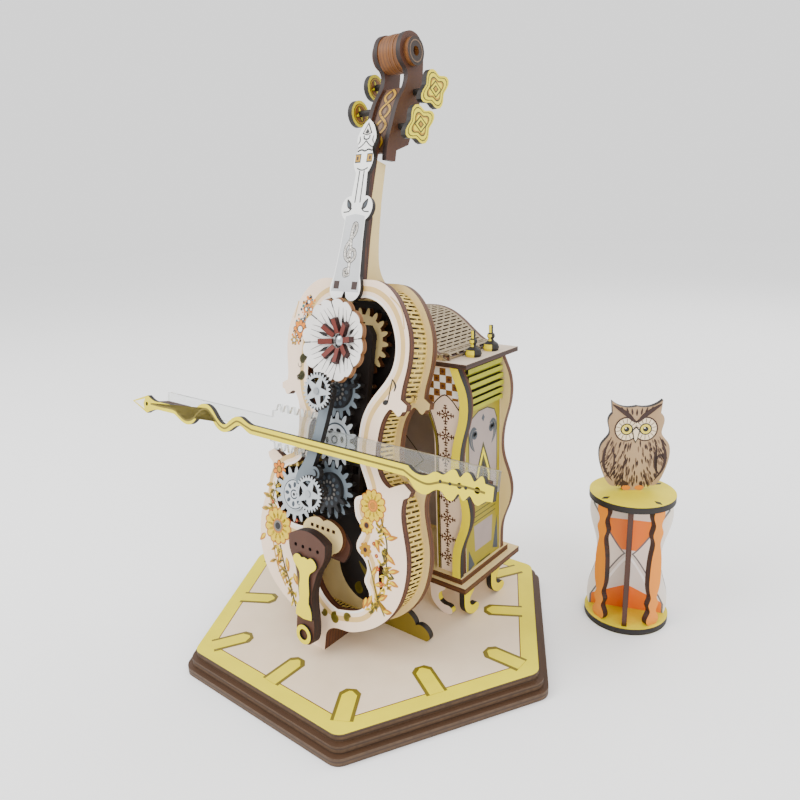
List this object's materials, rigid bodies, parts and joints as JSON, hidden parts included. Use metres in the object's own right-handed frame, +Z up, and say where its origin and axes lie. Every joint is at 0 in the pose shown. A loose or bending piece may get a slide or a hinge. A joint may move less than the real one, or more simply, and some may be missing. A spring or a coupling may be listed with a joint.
{
  "type": "wooden 3d jigsaw model",
  "caption": "Wooden jigsaw music box: a leaning cello with a gear train, flower and moving bow on a hexagonal base, an arched cabinet behind, and a loose hourglass with an owl.",
  "frame": {"origin": "centre of the hexagonal base's underside, on the surface it stands on", "axes": "+Z up, +X to the right along the cello's front, +Y towards the back, so the cello faces -Y"},
  "size_m": [0.269, 0.1867, 0.282],
  "materials": {
    "printed_birch": "matt printed plywood, cream",
    "plain_birch": "bare plywood",
    "dark_ply": "dark stained plywood",
    "walnut_ply": "brown printed plywood",
    "yellow_ply": "yellow printed plywood",
    "olive_ply": "olive printed plywood",
    "silver_ply": "silver printed plywood",
    "grey_ply": "grey printed plywood",
    "black_ply": "black printed plywood",
    "white_ply": "white printed plywood",
    "red_brown_ply": "red brown printed plywood",
    "orange_ply": "orange printed plywood",
    "glass_print": "plywood printed with a sand glass",
    "owl_print": "plywood printed with an owl",
    "base_edge": "plywood with burnt edges",
    "clear_acrylic": "clear acrylic sheet",
    "steel": "satin",
    "brass": "polished"
  },
  "bodies": {
    "root": {"base_lower": "base_edge", "base_middle": "base_edge", "base_top": "printed_birch", "cello_front_plate": "printed_birch", "cello_back_plate": "plain_birch", "mechanism_plate": "plain_birch", "rib_upper": "plain_birch", "rib_waist": "plain_birch", "rib_lower": "plain_birch", "body_spacers": "dark_ply", "neck_cheeks": "plain_birch", "fingerboard_backing": "walnut_ply", "fingerboard_face": "silver_ply", "pegbox_sides": "walnut_ply", "pegbox_front": "walnut_ply", "scroll": "walnut_ply", "tuning_pegs": "yellow_ply", "tailpiece": "dark_ply", "tailpiece_ornament": "yellow_ply", "bridge_plate": "printed_birch", "bridge_backing": "dark_ply", "gear_bracket": "grey_ply", "body_support": "olive_ply", "cabinet_plinth": "printed_birch", "cabinet_feet": "yellow_ply", "cabinet_front": "printed_birch", "cabinet_side_left": "olive_ply", "cabinet_side_right": "olive_ply", "cabinet_back": "plain_birch", "cabinet_trim": "yellow_ply", "roof_plate": "printed_birch", "barrel_roof": "plain_birch", "barrel_ends": "plain_birch", "finials": "yellow_ply", "movement_frame": "steel", "comb": "steel"},
    "flower_wheel": {"flower_gear": "plain_birch", "flower_shaft": "steel", "flower_petals": "white_ply", "flower_stamens": "red_brown_ply", "pin_cylinder": "brass"},
    "upper_wheel": {"upper_gear": "grey_ply", "upper_pinion": "plain_birch", "upper_driver": "black_ply", "upper_fine_gear": "silver_ply", "upper_shaft": "steel"},
    "middle_wheel": {"middle_gear": "grey_ply"},
    "lower_wheel": {"lower_gear": "grey_ply", "lower_driver": "black_ply", "lower_fine_gear": "silver_ply", "lower_shaft": "steel"},
    "side_wheel": {"side_gear": "silver_ply"},
    "bow": {"bow_stick": "yellow_ply", "bow_rack": "clear_acrylic", "bow_spacers": "walnut_ply"},
    "wind_key": {"wind_key": "brass"},
    "hourglass": {"hourglass_discs": "yellow_ply", "hourglass_panels": "glass_print", "hourglass_posts": "orange_ply", "owl": "owl_print"}
  },
  "joints": [
    {"name": "flower_spin", "type": "hinge", "parent": "root", "child": "flower_wheel", "pos_m": [0, -0.01356, 0.15165], "axis": [0, -0.9781, 0.2079], "continuous": true},
    {"name": "upper_spin", "type": "hinge", "parent": "root", "child": "upper_wheel", "pos_m": [0, -0.01818, 0.12994], "axis": [0, -0.9781, 0.2079], "continuous": true},
    {"name": "middle_spin", "type": "hinge", "parent": "root", "child": "middle_wheel", "pos_m": [0, -0.02285, 0.10793], "axis": [0, -0.9781, 0.2079], "continuous": true},
    {"name": "lower_spin", "type": "hinge", "parent": "root", "child": "lower_wheel", "pos_m": [0, -0.02769, 0.08519], "axis": [0, -0.9781, 0.2079], "continuous": true},
    {"name": "side_spin", "type": "hinge", "parent": "root", "child": "side_wheel", "pos_m": [-0.0228, -0.02925, 0.07786], "axis": [0, -0.9781, 0.2079], "continuous": true},
    {"name": "bow_stroke", "type": "slide", "parent": "root", "child": "bow", "axis": [1, 0, 0], "range_m": [0, 0.034]},
    {"name": "key_spin", "type": "hinge", "parent": "root", "child": "wind_key", "pos_m": [0, 0.054, 0.1148], "axis": [0, 1, 0], "continuous": true},
    {"name": "hourglass_lift", "type": "slide", "parent": "root", "child": "hourglass", "axis": [0, 0, 1], "range_m": [0, 0.06]}
  ],
  "couplings": [
    {"joint": "upper_spin", "follows": "flower_spin", "ratio": -1.8},
    {"joint": "middle_spin", "follows": "flower_spin", "ratio": 1.8},
    {"joint": "lower_spin", "follows": "flower_spin", "ratio": -1.6875},
    {"joint": "side_spin", "follows": "flower_spin", "ratio": 1.6875}
  ]
}
